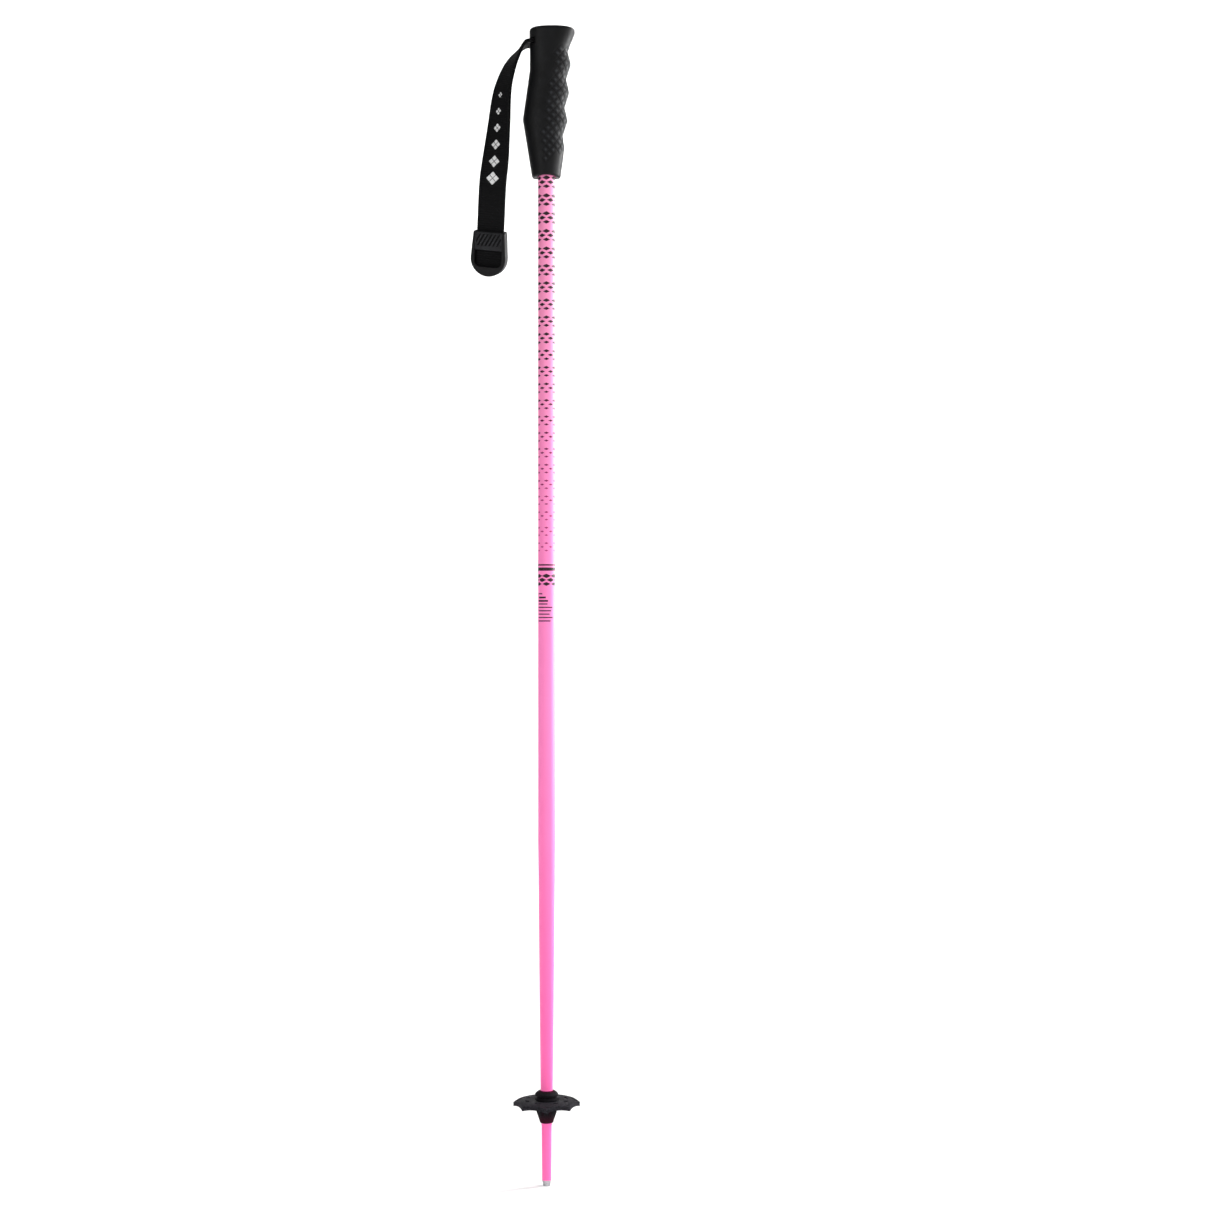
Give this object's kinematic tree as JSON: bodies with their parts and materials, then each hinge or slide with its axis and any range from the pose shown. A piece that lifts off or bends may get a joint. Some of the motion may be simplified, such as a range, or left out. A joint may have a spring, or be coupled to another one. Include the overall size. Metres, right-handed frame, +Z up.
{
  "type": "ski pole",
  "caption": "Fixed-length alpine ski pole: tapered pink tube, black rubber finger grip, webbing wrist strap with buckle, scalloped basket and steel crown tip.",
  "frame": {"origin": "end of the tip, on the shaft's axis", "axes": "+Z up the shaft to the grip, +X towards the finger grooves, the wrist strap leaves towards -X"},
  "size_m": [0.114, 0.069, 1.2],
  "materials": {
    "shaft_paint": "glossy pink lacquer on aluminium, with small dark printed marks",
    "ferrule_paint": "glossy pink lacquer on aluminium",
    "tip_steel": "bright hardened steel",
    "basket_plastic": "fine moulded grain, black",
    "grip_rubber": "soft matt black with a moulded diamond lattice",
    "webbing": "black ribbed polyester webbing with a small white printed pattern",
    "buckle_plastic": "satin moulded black",
    "pin_steel": "plain steel pin",
    "hidden_plastic": "plain moulded nylon"
  },
  "bodies": {
    "pole": {"shaft": "shaft_paint", "shaft_plug": "hidden_plastic", "ferrule": "ferrule_paint", "tip": "tip_steel", "grip_core": "hidden_plastic", "grip_cover": "grip_rubber", "strap_pin": "pin_steel", "strap_root": "webbing"},
    "basket_hub": {"basket_hub": "basket_plastic"},
    "basket_disc": {"basket_disc": "basket_plastic"},
    "strap": {"strap_front": "webbing", "strap_back": "webbing"},
    "buckle": {"buckle_frame": "buckle_plastic", "buckle_pin": "pin_steel"},
    "lever": {"buckle_lever": "buckle_plastic"}
  },
  "joints": [
    {"name": "strap_swing", "type": "hinge", "parent": "pole", "child": "strap", "pos_m": [-0.0197, 0, 1.1826], "axis": [0, 1, 0], "range_deg": [0, 90]},
    {"name": "buckle_slide", "type": "slide", "parent": "strap", "child": "buckle", "axis": [0.0565, -0.276, 0.9595], "range_m": [0, 0.024]},
    {"name": "lever_lift", "type": "hinge", "parent": "buckle", "child": "lever", "pos_m": [-0.05929, 0.00224, 0.98644], "axis": [-0.9706, 0.2099, 0.1176], "range_deg": [0, 60]},
    {"name": "basket_pull_off", "type": "slide", "parent": "pole", "child": "basket_hub", "axis": [0, 0, -1], "range_m": [0, 0.105]},
    {"name": "disc_turn", "type": "hinge", "parent": "basket_hub", "child": "basket_disc", "pos_m": [0, 0, 0.0857], "axis": [0, 0, 1], "continuous": true}
  ]
}
